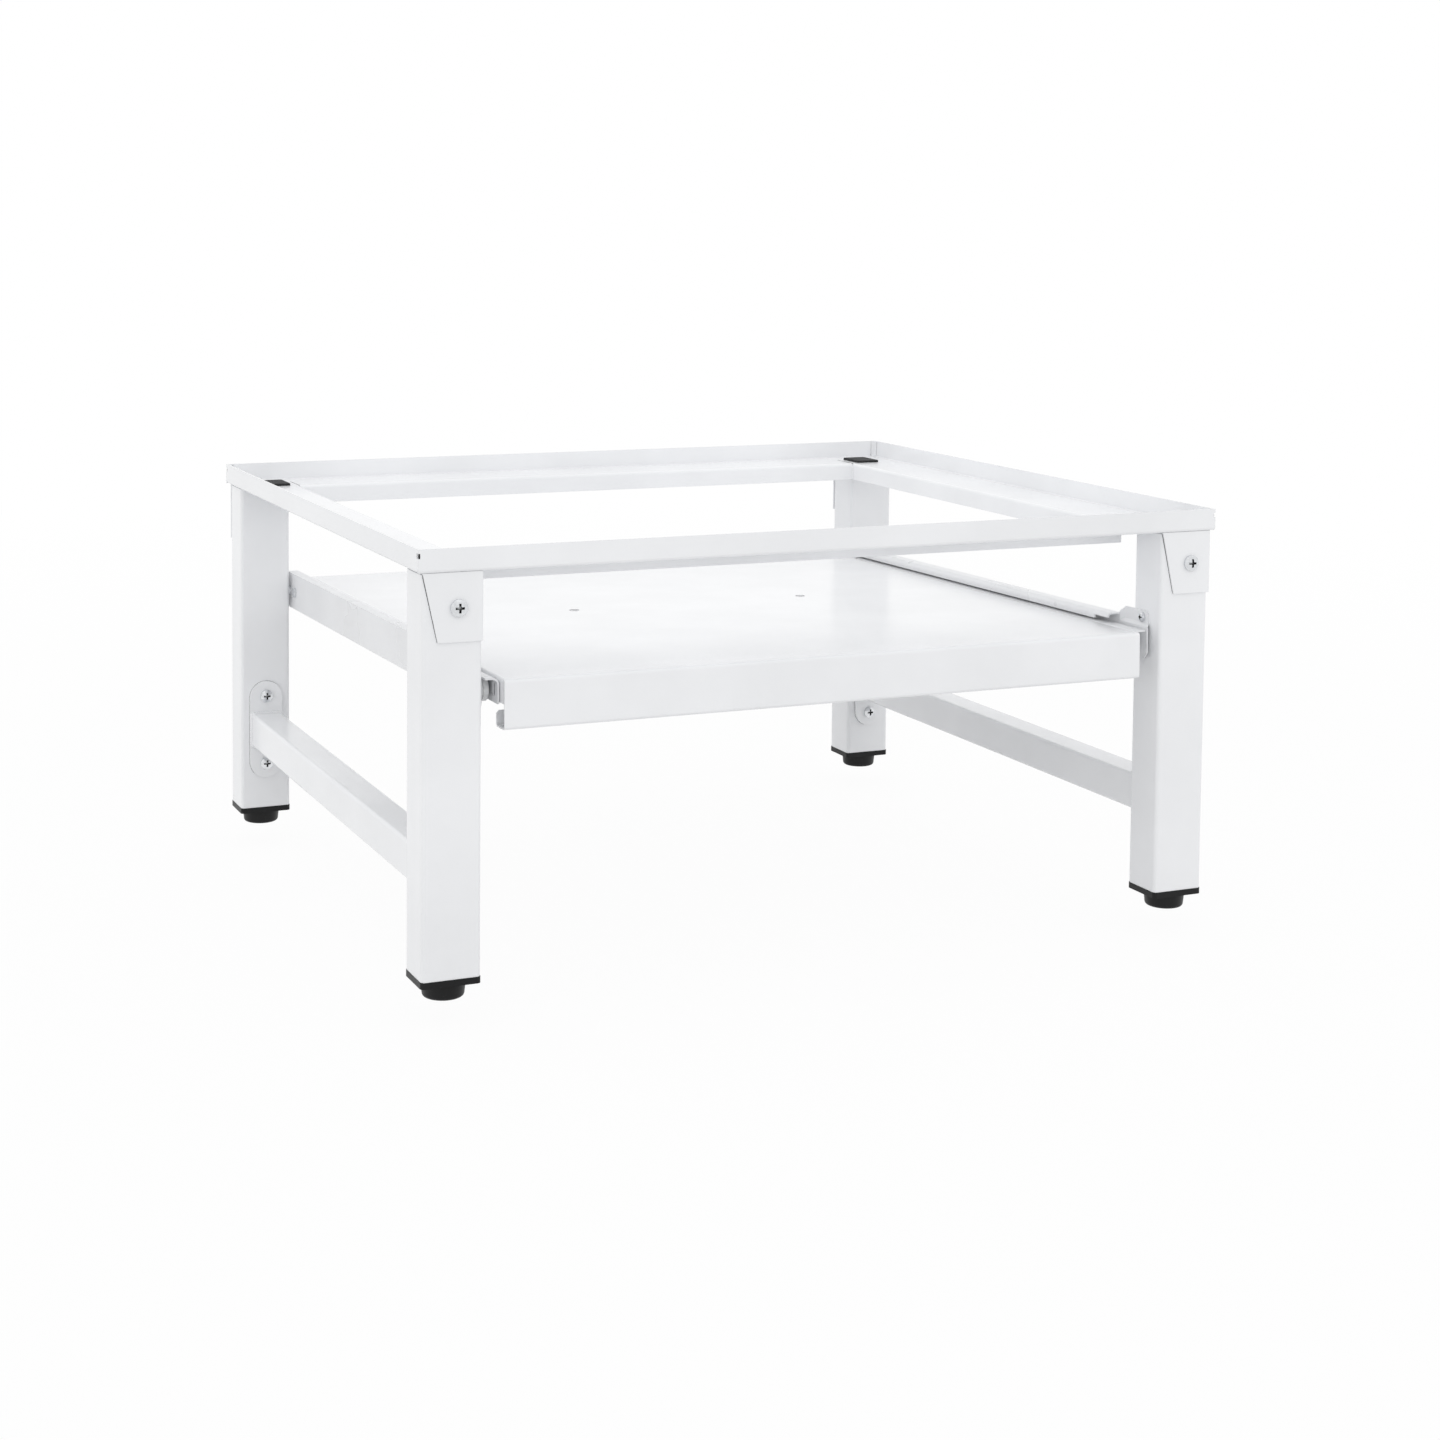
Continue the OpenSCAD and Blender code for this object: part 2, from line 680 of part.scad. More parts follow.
// the shelf's member of the left runner: a side riveted to the shelf, a flange over the front roller
module arm() {
    on_shelf() difference() {
        union() {
            upright([
                [arm_cut, -arm_h], [arm_back, -arm_h], [arm_back, 0], [arm_cut, 0],
            ], -side_x - run_t, -side_x);
            translate([-side_x, arm_cut, 0]) rotate([90, 0, 0])
                linear_extrude(height = arm_cut - arm_front) {
                translate([-run_t, -arm_h]) square([run_t, arm_h - arm_r]);
                translate([-arm_r, -arm_r]) quarter_ring(arm_r, run_t, 1, 1);
                translate([-arm_w, -run_t]) square([arm_w - arm_r, run_t]);
            }
        }
        translate([-side_x - 2 * run_t, back_roller_y, back_roller_z]) rotate([0, 90, 0])
            cylinder(d = pin_d + rivet_gap, h = 3 * run_t);
        rivet_holes();
        front_slot();
    }
}

// the upright slot near the front, through the shelf's member and the shelf's side
module front_slot() {
    translate([-side_x - 2 * run_t, slot_y, slot_z]) rotate([0, 90, 0]) {
        for (s = [-1, 1])
            translate([s * (slot_h - slot_w) / 2, 0, 0]) cylinder(d = slot_w, h = 6 * run_t);
        translate([-(slot_h - slot_w) / 2, -slot_w / 2, 0]) cube([slot_h - slot_w, slot_w, 6 * run_t]);
    }
}

module rivet_holes() {
    for (y = rivet_ys)
        translate([-side_x - 2 * run_t, y, rivet_z]) rotate([0, 90, 0])
            cylinder(d = rivet_d + rivet_gap, h = 6 * run_t);
}

module rivets() {
    on_shelf() for (y = rivet_ys) translate([-side_x - run_t, y, rivet_z]) rotate([0, 90, 0]) {
        translate([0, 0, -1]) cylinder(d = rivet_d + 3, h = 1);
        cylinder(d = rivet_d, h = run_t + arm_space + shelf_t + 1);
        translate([0, 0, run_t]) cylinder(d = rivet_d + 3, h = arm_space);
        translate([0, 0, run_t + arm_space + shelf_t]) cylinder(d = rivet_d + 2.5, h = 1);
    }
}

// the shelf, level, with its front face at y = 0 and its top at z = 0
module shelf_sheet() {
    r = shelf_fold_r;
    t = shelf_t;
    // top, less a strip for the folds
    translate([-shelf_side + r, r, -t]) cube([shelf_w - 2 * r, shelf_d - 2 * r, t]);
    // front fold, apron and the hem that turns back and up
    rotate([90, 0, 90]) translate([0, 0, -shelf_side]) linear_extrude(height = shelf_w) {
        translate([r, -r]) quarter_ring(r, t, -1, 1);
        translate([0, -apron_h + r]) square([t, apron_h - 2 * r]);
        translate([r, -apron_h + r]) quarter_ring(r, t, -1, -1);
        translate([r, -apron_h]) square([hem_d - 2 * r, t]);
        translate([hem_d - r, -apron_h + r]) quarter_ring(r, t, 1, -1);
    }
    translate([0, hem_d, 0]) rotate([90, 0, 0]) linear_extrude(height = t) polygon([
        [-shelf_side, r - apron_h], [shelf_side, r - apron_h],
        [shelf_side, hem_h - apron_h - 2], [shelf_side - 2, hem_h - apron_h],
        [2 - shelf_side, hem_h - apron_h], [-shelf_side, hem_h - apron_h - 2],
    ]);
    // side folds and flanges
    for (s = [0, 1]) mirror([s, 0, 0]) {
        translate([0, shelf_d - r, 0]) rotate([90, 0, 0]) linear_extrude(height = shelf_d - 2 * r) {
            translate([-shelf_side + r, -r]) quarter_ring(r, t, -1, 1);
            translate([-shelf_side, -flange_h]) square([t, flange_h - r]);
        }
    }
    // back fold and flange
    rotate([90, 0, 90]) translate([0, 0, -shelf_side + r]) linear_extrude(height = shelf_w - 2 * r) {
        translate([shelf_d - r, -r]) quarter_ring(r, t, 1, 1);
        translate([shelf_d - t, -flange_h]) square([t, flange_h - r]);
    }
}

module shelf_body() {
    on_shelf() difference() {
        shelf_sheet();
        for (s = [-1, 1])
            translate([s * hole_x, shelf_d / 2, 0]) cylinder(d = hole_d, h = 3 * shelf_t, center = true);
        for (s = [0, 1]) mirror([s, 0, 0]) {
            rivet_holes();
            front_slot();
            // room for the head of the back roller's pin
            translate([-side_x - 1, back_roller_y, back_roller_z]) rotate([0, 90, 0])
                cylinder(d = pin_head_d + 1, h = arm_space + shelf_t + 2);
        }
    }
}

// paint, plastic and metal
module white() { color("whitesmoke") children(); }
module black() { color([0.12, 0.12, 0.13]) children(); }
module zinc() { color("silver") children(); }
module nylon() { color("gainsboro") children(); }

module front_rail() { white() end_rail(); }
module back_rail() { white() mirror([0, 1, 0]) end_rail(); }
module left_rail() { white() side_rail(); }
module right_rail() { white() mirror([1, 0, 0]) side_rail(); }

module pad_front_left() { black() pad(); }
module pad_front_right() { black() mirror([1, 0, 0]) pad(); }
module pad_back_left() { black() mirror([0, 1, 0]) pad(); }
module pad_back_right() { black() mirror([1, 0, 0]) mirror([0, 1, 0]) pad(); }

module leg_front_left() { white() leg(false, false); }
module leg_front_right() { white() leg(true, false); }
module leg_back_left() { white() leg(false, true); }
module leg_back_right() { white() leg(true, true); }

module tab_front_left() { white() at_leg_turned(false, false) tab(); }
module tab_front_right() { white() at_leg_turned(true, false) tab(); }
module tab_back_left() { white() at_leg_turned(false, true) tab(); }
module tab_back_right() { white() at_leg_turned(true, true) tab(); }

module tab_screws() {
    zinc() for (right = [false, true], back = [false, true])
        at_leg_turned(right, back) at_tab_screw()
            pan_screw(screw_d, screw_l, tab_head_d, tab_head_h, cross_l);
}
module tab_nuts() {
    zinc() for (right = [false, true], back = [false, true])
        at_leg_turned(right, back) at_tab_screw() translate([0, 0, tab_t + leg_wall]) wall_nut(screw_d);
}

module cap_front_left() { black() at_leg(0, 0) cap(); }
module cap_front_right() { black() at_leg(1, 0) cap(); }
module cap_back_left() { black() at_leg(0, 1) cap(); }
module cap_back_right() { black() at_leg(1, 1) cap(); }
module cap_nuts() { zinc() for (right = [0, 1], back = [0, 1]) at_leg(right, back) cap_nut(); }

module foot_front_left() { black() at_leg(0, 0) foot(); }
module foot_front_right() { black() at_leg(1, 0) foot(); }
module foot_back_left() { black() at_leg(0, 1) foot(); }
module foot_back_right() { black() at_leg(1, 1) foot(); }
module stud_front_left() { zinc() at_leg(0, 0) stud(); }
module stud_front_right() { zinc() at_leg(1, 0) stud(); }
module stud_back_left() { zinc() at_leg(0, 1) stud(); }
module stud_back_right() { zinc() at_leg(1, 1) stud(); }

module bar_left() { white() bar(); }
module bar_right() { white() mirror([1, 0, 0]) bar(); }
module plate_front_left() { white() at_leg(0, 0) plate(); }
module plate_front_right() { white() at_leg(1, 0) plate(); }
module plate_back_left() { white() at_leg(0, 1) plate(); }
module plate_back_right() { white() at_leg(1, 1) plate(); }
module plate_screws() {
    zinc() for (right = [0, 1], back = [0, 1])
        at_leg(right, back) at_plate_screws()
            pan_screw(screw_d, screw_l, plate_head_d, tab_head_h, cross_l * 0.9);
}
module plate_nuts() {
    zinc() for (right = [0, 1], back = [0, 1])
        at_leg(right, back) at_plate_screws() translate([0, 0, plate_t + leg_wall]) wall_nut(screw_d);
}

module runner_left() { white() runner(); }
module runner_right() { white() mirror([1, 0, 0]) runner(); }
module runner_screws() {
    zinc() for (right = [0, 1]) mirror([right, 0, 0])
        at_runner_screws() pan_screw(run_screw_d, run_screw_l, run_head_d, run_head_h, run_head_d * 0.53);
}
module runner_spacers() {
    zinc() for (right = [0, 1]) mirror([right, 0, 0])
        at_back_screw() translate([0, 0, run_t]) difference() {
            cylinder(d = spacer_d, h = runner_gap);
            translate([0, 0, -1]) cylinder(d = run_screw_d + 2 * screw_gap, h = runner_gap + 2);
        }
}
module runner_nuts() {
    zinc() for (right = [0, 1]) mirror([right, 0, 0]) {
        at_ear_screw() translate([0, 0, run_t + leg_wall]) wall_nut(run_screw_d);
        at_back_screw() translate([0, 0, run_t + runner_gap + leg_wall]) wall_nut(run_screw_d);
    }
}
module stop_pins() { zinc() for (right = [0, 1]) mirror([right, 0, 0]) stop_pin(); }

module front_roller_left() { nylon() roller(front_roller_y, front_roller_z, front_roller_r); }
module front_roller_right() {
    nylon() mirror([1, 0, 0]) roller(front_roller_y, front_roller_z, front_roller_r);
}
module front_pins() { zinc() for (right = [0, 1]) mirror([right, 0, 0]) front_pin(); }

module shelf() { white() shelf_body(); }
module arm_left() { white() arm(); }
module arm_right() { white() mirror([1, 0, 0]) arm(); }
module shelf_rivets() { zinc() for (right = [0, 1]) mirror([right, 0, 0]) rivets(); }
module back_roller_left() { nylon() roller(back_roller_y, back_roller_z, back_roller_r); }
module back_roller_right() {
    nylon() mirror([1, 0, 0]) roller(back_roller_y, back_roller_z, back_roller_r);
}
module back_pins() { zinc() for (right = [0, 1]) mirror([right, 0, 0]) back_pin(); }

front_rail();
back_rail();
left_rail();
right_rail();
pad_front_left();
pad_front_right();
pad_back_left();
pad_back_right();
leg_front_left();
leg_front_right();
leg_back_left();
leg_back_right();
tab_front_left();
tab_front_right();
tab_back_left();
tab_back_right();
tab_screws();
tab_nuts();
cap_front_left();
cap_front_right();
cap_back_left();
cap_back_right();
cap_nuts();
foot_front_left();
foot_front_right();
foot_back_left();
foot_back_right();
stud_front_left();
stud_front_right();
stud_back_left();
stud_back_right();
bar_left();
bar_right();
plate_front_left();
plate_front_right();
plate_back_left();
plate_back_right();
plate_screws();
plate_nuts();
runner_left();
runner_right();
runner_screws();
runner_nuts();
runner_spacers();
stop_pins();
front_roller_left();
front_roller_right();
front_pins();
shelf();
arm_left();
arm_right();
shelf_rivets();
back_roller_left();
back_roller_right();
back_pins();
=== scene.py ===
"""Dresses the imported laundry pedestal: powder-coated steel, zinc fasteners, rubber pads, plastic feet."""
import math
import bmesh
import bpy
import numpy as np
from mathutils import Matrix, Vector


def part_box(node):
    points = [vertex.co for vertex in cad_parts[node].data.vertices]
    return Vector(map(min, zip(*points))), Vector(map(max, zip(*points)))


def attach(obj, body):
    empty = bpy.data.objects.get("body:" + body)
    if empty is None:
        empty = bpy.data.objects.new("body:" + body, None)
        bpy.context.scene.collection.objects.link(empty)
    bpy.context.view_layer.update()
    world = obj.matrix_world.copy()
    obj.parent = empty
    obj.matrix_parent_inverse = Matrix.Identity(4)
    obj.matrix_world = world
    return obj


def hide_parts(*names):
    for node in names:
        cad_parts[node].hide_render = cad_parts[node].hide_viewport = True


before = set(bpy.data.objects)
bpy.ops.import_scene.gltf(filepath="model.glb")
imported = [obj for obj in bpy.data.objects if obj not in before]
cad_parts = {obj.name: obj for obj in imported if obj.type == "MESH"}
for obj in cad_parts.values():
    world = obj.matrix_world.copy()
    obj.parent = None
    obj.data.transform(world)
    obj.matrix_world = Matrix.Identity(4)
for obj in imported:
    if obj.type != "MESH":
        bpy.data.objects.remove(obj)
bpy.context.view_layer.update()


# Top frame: four rails of 1.5 mm mild steel, each folded to a seat, an outer lip and an inner turn-down.
# They are butted at the corners, welded, ground flush and powder coated in gloss white. The coat is baked
# polyester and slightly wavy, so highlights on it are soft at their edges.
def colour(hex_value):
    """Turns an sRGB hex colour to linear: (c + 0.055) / 1.055 to the power 2.4, or c / 12.92 when dark."""
    c = np.array([int(hex_value[i:i + 2], 16) for i in (1, 3, 5)]) / 255
    linear = np.where(c > 0.04045, ((c + 0.055) / 1.055) ** 2.4, c / 12.92)
    return (*linear.tolist(), 1.0)


def add_node(tree, kind, settings=None, inputs=None, links=None):
    """Adds one node: settings go to its properties, inputs to its sockets, links join other sockets to it."""
    node = tree.nodes.new(kind)
    for name, value in (settings or {}).items():
        setattr(node, name, value)
    for name, value in (inputs or {}).items():
        node.inputs[name].default_value = value
    for name, source in (links or {}).items():
        tree.links.new(source, node.inputs[name])
    return node


def new_material(name):
    """An empty material with its output; gives the material, its node tree and the output node."""
    material = bpy.data.materials.new(name)
    material.use_nodes = True
    material.node_tree.nodes.clear()
    return material, material.node_tree, add_node(material.node_tree, "ShaderNodeOutputMaterial")


def mottled(tree, pattern, spread, low, high):
    """The colour of a finish, from low to high as a pattern goes from 0.5 - spread to 0.5 + spread.

    In Blender's mixing node, input 0 is the share, inputs 6 and 7 are the colours, and output 2 is their mix.
    """
    share = add_node(tree, "ShaderNodeMapRange", inputs={"From Min": 0.5 - spread, "From Max": 0.5 + spread},
                     links={"Value": pattern})
    drift = add_node(tree, "ShaderNodeMix", {"data_type": "RGBA"}, {6: colour(low), 7: colour(high)},
                     {0: share.outputs["Result"]})
    return drift.outputs[2]


def powder_coat(name, low, high, rough_low, rough_high):
    """Baked polyester powder: faint orange peel 3 mm across, clouds of shade and gloss 90 mm across.

    The coat's own thickness rounds the edges. IOR 1.5 is usual for polyester.
    """
    peel_mm, cloud_mm, edge_mm = 3.0, 90.0, 0.35
    material, tree, output = new_material(name)
    place = add_node(tree, "ShaderNodeTexCoord").outputs["Object"]
    peel = add_node(tree, "ShaderNodeTexNoise", inputs={"Scale": 1000 / peel_mm, "Detail": 2.0},
                    links={"Vector": place})
    cloud = add_node(tree, "ShaderNodeTexNoise", inputs={"Scale": 1000 / cloud_mm, "Detail": 3.0},
                     links={"Vector": place})
    edge = add_node(tree, "ShaderNodeBevel", {"samples": 4}, {"Radius": edge_mm / 1000})
    bump = add_node(tree, "ShaderNodeBump", inputs={"Strength": 0.06, "Distance": 0.0004},
                    links={"Height": peel.outputs["Fac"], "Normal": edge.outputs["Normal"]})
    rough = add_node(tree, "ShaderNodeMapRange", inputs={"To Min": rough_low, "To Max": rough_high},
                     links={"Value": cloud.outputs["Fac"]})
    shader = add_node(tree, "ShaderNodeBsdfPrincipled", inputs={"IOR": 1.5, "Metallic": 0.0}, links={
        "Base Color": mottled(tree, cloud.outputs["Fac"], 0.15, low, high),
        "Roughness": rough.outputs["Result"], "Normal": bump.outputs["Normal"]})
    tree.links.new(shader.outputs["BSDF"], output.inputs["Surface"])
    return material


def dress(names, material):
    """Gives CAD nodes their material."""
    for name in names:
        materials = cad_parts[name].data.materials
        materials.clear()
        materials.append(material)


white_coat = powder_coat("gloss_white_powder_coat", "#F1F2F4", "#F6F7F9", 0.16, 0.22)
dress(["front_rail", "back_rail", "left_rail", "right_rail"], white_coat)


# Welds inside the top frame: short beads of mild steel, one up each inner corner, where two turn-downs meet.
# They are laid by MIG, in ripples about 2 mm apart, and coated with the frame.
def put(name, verts, faces, body, material, smooth=True):
    """Makes a piece from points and faces, turns its faces outwards, and fastens it to a body."""
    mesh = bpy.data.meshes.new(name)
    mesh.from_pydata(np.asarray(verts, float).reshape(-1, 3).tolist(), [], faces)
    mesh.validate()
    shell = bmesh.new()
    shell.from_mesh(mesh)
    bmesh.ops.recalc_face_normals(shell, faces=shell.faces)
    shell.to_mesh(mesh)
    shell.free()
    if smooth:
        mesh.shade_smooth()
    else:
        mesh.shade_flat()
    mesh.materials.append(material)
    piece = bpy.data.objects.new(name, mesh)
    bpy.context.scene.collection.objects.link(piece)
    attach(piece, body)
    return piece


def shell_faces(rows, columns, ring=False):
    """Quads over a grid of points whose columns close on themselves.

    On a ring the rows close on themselves too. Elsewhere one face closes the first row and one the last.
    """
    i = np.arange(rows if ring else rows - 1)[:, None]
    j = np.arange(columns)[None, :]
    k, m = (i + 1) % rows, (j + 1) % columns
    quads = np.stack([i * columns + j, i * columns + m, k * columns + m, k * columns + j], -1)
    faces = quads.reshape(-1, 4).tolist()
    if not ring:
        faces += [list(range(columns))[::-1], list(range((rows - 1) * columns, rows * columns))]
    return faces


def put_bead(name, path, across, beside, radius, body, material, ring=False):
    """A weld bead: a round section swept along a path, in the plane of two unit vectors at each point.

    point(s, a) = path(s) + r(s) (cos a across(s) + sin a beside(s)), and r(s) swells and shrinks by a tenth
    every 2 mm of length s, as the ripples do. Unless the path is a ring, r also falls as a circle does over
    the last 1.5 radii of each end, to a hundredth.
    """
    swell, ripple, sides, blunt_end, tip = 0.1, 0.002, 10, 1.5, 0.01
    path, across, beside = (np.asarray(v, float) for v in (path, across, beside))
    step = np.linalg.norm(np.diff(path, axis=0), axis=1)
    s = np.concatenate([[0], np.cumsum(step)])
    r = radius * (1 + swell * np.sin(2 * math.pi * s / ripple))
    if not ring:
        near_end = np.minimum(s, s[-1] - s) / (blunt_end * radius)
        r = r * np.sqrt(np.clip(near_end * (2 - near_end), tip ** 2, 1) * (near_end < 1) + (near_end >= 1))
    a = np.linspace(0, 2 * math.pi, sides, endpoint=False)
    points = path[:, None] + r[:, None, None] * (
        np.cos(a)[None, :, None] * across[:, None] + np.sin(a)[None, :, None] * beside[:, None])
    put(name, points, shell_faces(len(path), sides, ring), body, material)


def straight_bead(name, start, end, across, beside, radius, material):
    """A bead on the frame along a straight line: path(t) = start (1 - t) + end t."""
    t = np.linspace(0, 1, 60)[:, None]
    path = np.asarray(start) * (1 - t) + np.asarray(end) * t
    across, beside = (np.tile(v, (len(path), 1)) for v in (across, beside))
    put_bead(name, path, across, beside, radius, "frame", material)


# each corner's side (-1 left, 1 right) and end (-1 front, 1 back)
corners = {"front_left": (-1, -1), "front_right": (1, -1), "back_left": (-1, 1), "back_right": (1, 1)}
side_low, side_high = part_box("left_rail")
end_low, end_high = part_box("front_rail")
turn_x, turn_y = abs(side_high.x), abs(end_high.y)
seat_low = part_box("tab_front_left")[1].z
weld_r, weld_foot, weld_head = 0.0013, 0.0005, 0.0008
for corner, (side, end) in corners.items():
    x, y = side * turn_x, end * turn_y
    straight_bead(f"corner_weld_{corner}", (x, y, side_low.z + weld_foot), (x, y, seat_low - weld_head),
                  (side, 0, 0), (0, end, 0), weld_r, white_coat)


# Lip corners: each is closed from inside by an upright weld, ground hollow and coated. Deep in the notch left
# in the lips sits a near-black bead, which stands for the shade in there: painted shade.
def dark_steel_and_shade_finish():
    """Dull near-black steel, scale in 1.5 mm patches; painted shade in notches, along tabs and round holes.
    """
    patch_mm = 1.5
    material, tree, output = new_material("bare_steel_and_painted_shade")
    place = add_node(tree, "ShaderNodeTexCoord").outputs["Object"]
    patch = add_node(tree, "ShaderNodeTexNoise", inputs={"Scale": 1000 / patch_mm, "Detail": 4.0},
                     links={"Vector": place})
    bump = add_node(tree, "ShaderNodeBump", inputs={"Strength": 0.4, "Distance": 0.0002},
                    links={"Height": patch.outputs["Fac"]})
    rough = add_node(tree, "ShaderNodeMapRange", inputs={"To Min": 0.55, "To Max": 0.8},
                     links={"Value": patch.outputs["Fac"]})
    shader = add_node(tree, "ShaderNodeBsdfPrincipled", inputs={"Metallic": 1.0}, links={
        "Base Color": mottled(tree, patch.outputs["Fac"], 0.2, "#0D0C0E", "#1A1817"),
        "Roughness": rough.outputs["Result"], "Normal": bump.outputs["Normal"]})
    tree.links.new(shader.outputs["BSDF"], output.inputs["Surface"])
    return material


# Near-black steel: bare at the seat and plate seams, painted shade in the lip notches, along the tabs and
# round the drain holes.
dark_steel_and_painted_shade = dark_steel_and_shade_finish()
sheet = 0.0015
notch_shade_r, notch_shade_foot, notch_shade_head = 0.0011, 0.0072, 0.0018
hollow_r, hollow_head = 0.0042, 0.0006


def hollow_fillet(corner, x, y, bottom, top):
    """A weld ground hollow: a quarter circle swept up the corner, closed behind at the corner itself.

    point(a) = (x, y) - r (1 - cos a, 1 - sin a) in the corner's directions, for a from 0 to 90 degrees, and
    r swells by 3 hundredths in waves of 5 mm up the weld.
    """
    swell, wave = 0.03, 0.005
    side, end = corners[corner]
    a = np.linspace(0, math.pi / 2, 17)
    z = np.linspace(bottom, top, 24)
    r = hollow_r * (1 + swell * np.sin(2 * math.pi * (z - bottom) / wave))[:, None]
    in_x = np.concatenate([r * (1 - np.cos(a)), np.zeros_like(r)], 1)
    in_y = np.concatenate([r * (1 - np.sin(a)), np.zeros_like(r)], 1)
    verts = np.stack([x - side * in_x, y - end * in_y, np.broadcast_to(z[:, None], in_x.shape)], -1)
    put(f"lip_fillet_{corner}", verts, shell_faces(*in_x.shape), "frame", white_coat,
        smooth=False)


for corner, (side, end) in corners.items():
    x, y = side * (abs(side_low.x) - sheet), end * (abs(end_low.y) - sheet)
    # Painted shade: a near-black bead in each lip notch.
    straight_bead(f"lip_notch_shade_{corner}", (x, y, side_high.z - notch_shade_foot), (x, y, side_high.z - notch_shade_head),
                  (side, 0, 0), (0, end, 0), notch_shade_r, dark_steel_and_painted_shade)
    hollow_fillet(corner, x, y, seat_low + sheet, side_high.z - hollow_head)


# Seams: each seat ends in a butt joint beside its corner, where the coat breaks in a hairline and dark steel
# shows. Each tab is bent from sheet and only lies on its leg, and a dark line along its slanted edge is
# painted shadow, for the shade in the gap there.
seat_seam, seat_seam_r, seat_seam_sunk = 0.031, 0.00025, 0.0001
tab_slant, tab_shade_line_r, tab_shade_line_head = 0.0105, 0.0002, 0.001
for corner, (side, end) in corners.items():
    x, y, z = side * turn_x, end * turn_y, seat_low + sheet - seat_seam_sunk
    straight_bead(f"seat_seam_{corner}", (x, y, z), (x, y + end * seat_seam, z), (1, 0, 0), (0, 0, 1),
                  seat_seam_r, dark_steel_and_painted_shade)
    low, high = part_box(f"tab_{corner}")
    edge, face = (low.x, low.y + sheet) if end < 0 else (high.x, high.y - sheet)
    # Painted shadow: a dark hairline along each tab's slanted edge.
    straight_bead(f"tab_seam_{corner}", (edge, face, high.z - tab_shade_line_head),
                  (edge - end * tab_slant, face, low.z), (1, 0, 0), (0, 1, 0), tab_shade_line_r, dark_steel_and_painted_shade)


# Anti-slip pads: a rectangle of black rubber stuck to the seat over each leg, cut from sheet with its top
# edge softened. Rubber is matt, with a fine sheen of talc in its grain.
def rubber():
    """Vulcanised rubber sheet: matt black, with a cloth-pressed grain of about 0.8 mm."""
    grain_mm, dust_mm = 0.8, 6.25
    material, tree, output = new_material("black_rubber_sheet")
    place = add_node(tree, "ShaderNodeTexCoord").outputs["Object"]
    grain = add_node(tree, "ShaderNodeTexVoronoi", inputs={"Scale": 1000 / grain_mm}, links={"Vector": place})
    dust = add_node(tree, "ShaderNodeTexNoise", inputs={"Scale": 1000 / dust_mm, "Detail": 4.0},
                    links={"Vector": place})
    bump = add_node(tree, "ShaderNodeBump", inputs={"Strength": 0.25, "Distance": 0.0001},
                    links={"Height": grain.outputs["Distance"]})
    shader = add_node(tree, "ShaderNodeBsdfPrincipled", inputs={"IOR": 1.52, "Roughness": 0.72}, links={
        "Base Color": mottled(tree, dust.outputs["Fac"], 0.2, "#121314", "#1C1D1F"),
        "Normal": bump.outputs["Normal"]})
    tree.links.new(shader.outputs["BSDF"], output.inputs["Surface"])
    return material


# radians that keep a ring's points off its axes, where the sign of a sine or cosine is 0
off_axis = 1e-4


def pad_piece(corner):
    """A plate of rings of a rounded rectangle, drawn in and lifted by a quarter circle at its top edge.

    With b the bend of its corners and i the inset of a ring, x = sign(cos a) (w/2 - b) + (b - i) cos a, and y
    in the same way with its length and sin a. Where i passes b, the rectangle itself shrinks by i - b.
    """
    low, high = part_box(f"pad_{corner}")
    centre = (low + high) / 2
    width, length, thick = high - low
    edge, bend, inner_ring = 0.0007, 0.0016, 0.004
    rise = np.linspace(0, math.pi / 2, 6)
    height = np.concatenate([[0.0, 0.0], thick - edge + edge * np.sin(rise), [thick]])[:, None]
    inset = np.concatenate([[inner_ring, 0.0], edge * (1 - np.cos(rise)), [inner_ring]])[:, None]
    a = np.linspace(0, 2 * math.pi, 48, endpoint=False) + off_axis
    x, y = (np.sign(wave) * np.maximum(size / 2 - bend - np.maximum(inset - bend, 0), 0)
            + np.maximum(bend - inset, 0) * wave for size, wave in ((width, np.cos(a)), (length, np.sin(a))))
    verts = np.stack([centre.x + x, centre.y + y, low.z + np.broadcast_to(height, x.shape)], -1)
    piece = put(f"rubber_{corner}", verts, shell_faces(*x.shape), "frame", black_rubber)
    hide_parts(f"pad_{corner}")


black_rubber = rubber()
for corner in corners:
    pad_piece(corner)


# Legs: 42 x 35 mm rectangular tube of 1.5 mm steel, each hung on a bracket that is welded under the seat.
# The bracket's slanted tab lies on the leg's outer face. All are coated like the frame.
dress([f"{piece}_{corner}" for piece in ("leg", "tab") for corner in corners], white_coat)


